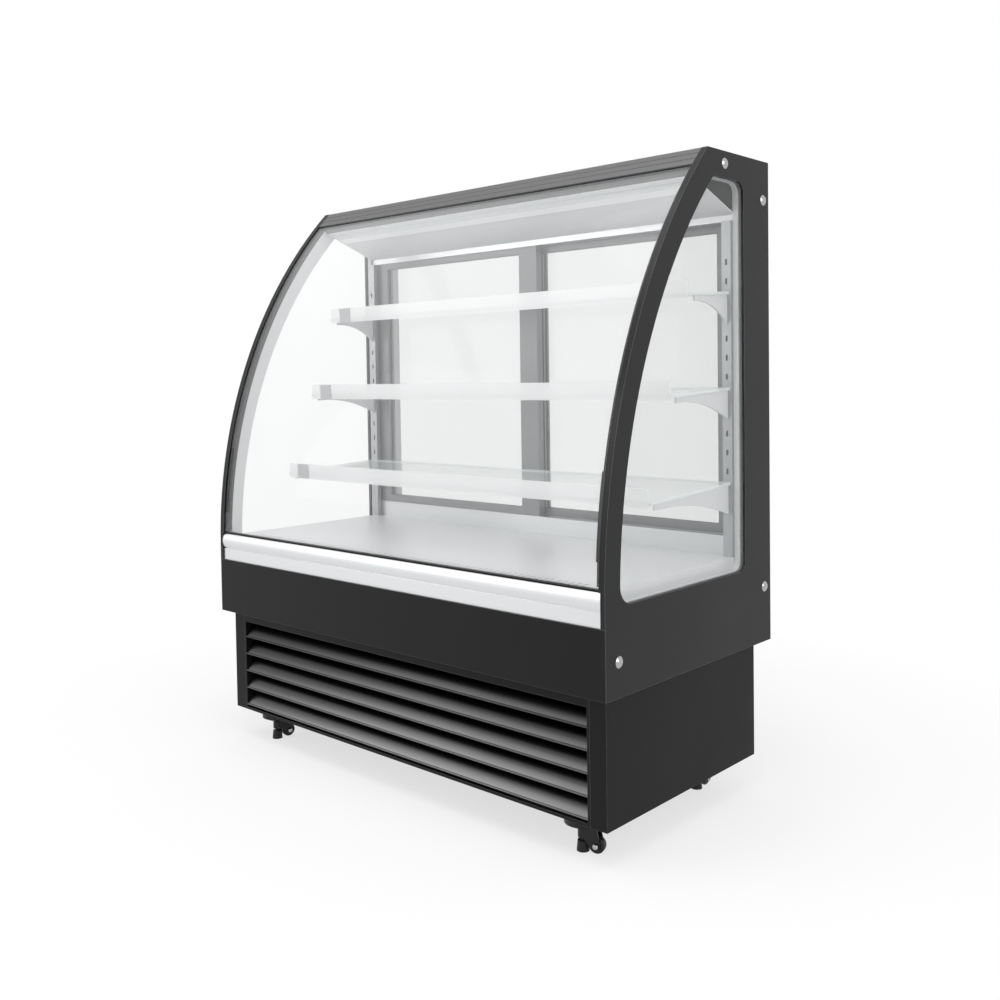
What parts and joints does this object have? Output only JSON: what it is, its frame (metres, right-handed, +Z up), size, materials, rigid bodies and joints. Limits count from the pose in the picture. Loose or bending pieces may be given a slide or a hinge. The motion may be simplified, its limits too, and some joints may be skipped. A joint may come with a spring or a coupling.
{
  "type": "refrigerated bakery display case",
  "caption": "Floor-standing chilled display case with curved tilting front glass, glass shelves, sliding rear doors and levelling casters.",
  "frame": {"origin": "on the floor under the middle of the case's bounding box", "axes": "+X to the right end seen from the customer side, -Y to the customer side, +Y to the staff side, +Z up"},
  "size_m": [1.21, 0.6, 1.35],
  "materials": {
    "charcoal_panel": "satin powder coat",
    "base_paint": "satin powder coat",
    "gloss_black": "gloss",
    "chassis": "matte",
    "bumper_aluminium": "satin anodised",
    "clear_glass": "polished",
    "liner_white": "satin",
    "liner_plastic": "satin",
    "bolt_steel": "polished",
    "seal_rubber": "matte",
    "rail_black": "satin",
    "header_grey": "satin anodised",
    "top_paint": "satin powder coat",
    "lamp_body": "satin",
    "lens_milk": "frosted",
    "steel_skin": "brushed",
    "foam": "cellular",
    "deck_steel": "brushed",
    "track_aluminium": "anodised",
    "door_grey": "anodised",
    "standard_steel": "brushed",
    "rail_clear": "clear",
    "ticket": "matte",
    "fin_aluminium": "mill",
    "fan_black": "matte",
    "galvanised": "galvanised",
    "compressor_black": "gloss",
    "copper": "mill",
    "control_black": "fine texture",
    "button_grey": "matte",
    "rocker_black": "gloss",
    "caster_black": "satin",
    "wheel_nylon": "satin",
    "foot_nylon": "satin",
    "gland_plastic": "matte"
  },
  "bodies": {
    "cabinet": {"base_frame": "chassis", "base_covers": "base_paint", "front_grille": "gloss_black", "rear_service_panel": "base_paint", "power_inlet": "gland_plastic", "front_fascia": "charcoal_panel", "bumper_rail": "bumper_aluminium", "side_panel_right": "charcoal_panel", "side_panel_left": "charcoal_panel", "side_glass": "clear_glass", "side_liners": "liner_plastic", "side_bolts": "bolt_steel", "glass_seals": "seal_rubber", "header_channel": "header_grey", "top_panel": "top_paint", "canopy_liner": "liner_white", "lamp_housing": "lamp_body", "lamp_lens": "lens_milk", "tank_shell": "steel_skin", "tank_foam": "foam", "tank_liner": "steel_skin", "deck_panel": "deck_steel", "door_tracks": "track_aluminium", "shelf_standards": "standard_steel", "shelf_brackets": "liner_white", "glass_shelves": "clear_glass", "price_rails": "rail_clear", "price_tickets": "ticket", "evaporator_coil": "fin_aluminium", "blower_cradle": "galvanised", "condenser_coil": "fin_aluminium", "condenser_shroud": "galvanised", "compressor": "compressor_black", "refrigerant_pipes": "copper", "control_panel": "control_black", "caster_plates": "caster_black"},
    "front_glass": {"front_glass": "clear_glass", "front_glass_rail": "rail_black"},
    "door_left": {"door_left_frame": "door_grey", "door_left_glass": "clear_glass"},
    "door_right": {"door_right_frame": "door_grey", "door_right_glass": "clear_glass"},
    "blower_rotor": {"blower_rotor": "fan_black"},
    "condenser_fan": {"condenser_fan": "fan_black"},
    "button_set": {"button_set": "button_grey"},
    "button_up": {"button_up": "button_grey"},
    "button_down": {"button_down": "button_grey"},
    "lamp_rocker": {"lamp_rocker": "rocker_black"},
    "caster_front_right": {"caster_body_front_right": "caster_black"},
    "wheel_front_right": {"caster_wheel_front_right": "wheel_nylon"},
    "foot_front_right": {"levelling_foot_front_right": "foot_nylon"},
    "caster_front_left": {"caster_body_front_left": "caster_black"},
    "wheel_front_left": {"caster_wheel_front_left": "wheel_nylon"},
    "foot_front_left": {"levelling_foot_front_left": "foot_nylon"},
    "caster_rear_right": {"caster_body_rear_right": "caster_black"},
    "wheel_rear_right": {"caster_wheel_rear_right": "wheel_nylon"},
    "foot_rear_right": {"levelling_foot_rear_right": "foot_nylon"},
    "caster_rear_left": {"caster_body_rear_left": "caster_black"},
    "wheel_rear_left": {"caster_wheel_rear_left": "wheel_nylon"},
    "foot_rear_left": {"levelling_foot_rear_left": "foot_nylon"}
  },
  "joints": [
    {"name": "front_glass_tilt", "type": "hinge", "parent": "cabinet", "child": "front_glass", "pos_m": [0, -0.29158, 0.521], "axis": [1, 0, 0], "range_deg": [0, 35]},
    {"name": "door_left_slide", "type": "slide", "parent": "cabinet", "child": "door_left", "axis": [1, 0, 0], "range_m": [0, 0.54]},
    {"name": "door_right_slide", "type": "slide", "parent": "cabinet", "child": "door_right", "axis": [-1, 0, 0], "range_m": [0, 0.54]},
    {"name": "blower_spin", "type": "hinge", "parent": "cabinet", "child": "blower_rotor", "pos_m": [0, -0.11, 0.414], "axis": [1, 0, 0], "continuous": true},
    {"name": "condenser_fan_spin", "type": "hinge", "parent": "cabinet", "child": "condenser_fan", "pos_m": [0.1, -0.153, 0.18], "axis": [0, 1, 0], "continuous": true},
    {"name": "button_set_press", "type": "slide", "parent": "cabinet", "child": "button_set", "axis": [0, -1, 0], "range_m": [0, 0.0012], "stiffness_N_per_m": 400},
    {"name": "button_up_press", "type": "slide", "parent": "cabinet", "child": "button_up", "axis": [0, -1, 0], "range_m": [0, 0.0012], "stiffness_N_per_m": 400},
    {"name": "button_down_press", "type": "slide", "parent": "cabinet", "child": "button_down", "axis": [0, -1, 0], "range_m": [0, 0.0012], "stiffness_N_per_m": 400},
    {"name": "lamp_rocker_tip", "type": "hinge", "parent": "cabinet", "child": "lamp_rocker", "pos_m": [0.476, 0.2937, 0.42], "axis": [1, 0, 0], "range_deg": [-8, 8]},
    {"name": "caster_swivel_front_right", "type": "hinge", "parent": "cabinet", "child": "caster_front_right", "pos_m": [0.485, -0.222, 0.07], "axis": [0, 0, 1], "continuous": true},
    {"name": "wheel_spin_front_right", "type": "hinge", "parent": "caster_front_right", "child": "wheel_front_right", "pos_m": [0.51273, -0.21352, 0.016], "axis": [-0.2924, 0.9563, 0], "continuous": true},
    {"name": "foot_screw_front_right", "type": "slide", "parent": "caster_front_right", "child": "foot_front_right", "axis": [0, 0, 1], "range_m": [-0.012, 0.005]},
    {"name": "caster_swivel_front_left", "type": "hinge", "parent": "cabinet", "child": "caster_front_left", "pos_m": [-0.485, -0.222, 0.07], "axis": [0, 0, 1], "continuous": true},
    {"name": "wheel_spin_front_left", "type": "hinge", "parent": "caster_front_left", "child": "wheel_front_left", "pos_m": [-0.47996, -0.19344, 0.016], "axis": [-0.9848, 0.1736, 0], "continuous": true},
    {"name": "foot_screw_front_left", "type": "slide", "parent": "caster_front_left", "child": "foot_front_left", "axis": [0, 0, 1], "range_m": [-0.012, 0.005]},
    {"name": "caster_swivel_rear_right", "type": "hinge", "parent": "cabinet", "child": "caster_rear_right", "pos_m": [0.485, 0.18, 0.07], "axis": [0, 0, 1], "continuous": true},
    {"name": "wheel_spin_rear_right", "type": "hinge", "parent": "caster_rear_right", "child": "wheel_rear_right", "pos_m": [0.485, 0.209, 0.016], "axis": [-1, 0, 0], "continuous": true},
    {"name": "foot_screw_rear_right", "type": "slide", "parent": "caster_rear_right", "child": "foot_rear_right", "axis": [0, 0, 1], "range_m": [-0.012, 0.005]},
    {"name": "caster_swivel_rear_left", "type": "hinge", "parent": "cabinet", "child": "caster_rear_left", "pos_m": [-0.485, 0.18, 0.07], "axis": [0, 0, 1], "continuous": true},
    {"name": "wheel_spin_rear_left", "type": "hinge", "parent": "caster_rear_left", "child": "wheel_rear_left", "pos_m": [-0.485, 0.209, 0.016], "axis": [-1, 0, 0], "continuous": true},
    {"name": "foot_screw_rear_left", "type": "slide", "parent": "caster_rear_left", "child": "foot_rear_left", "axis": [0, 0, 1], "range_m": [-0.012, 0.005]}
  ]
}
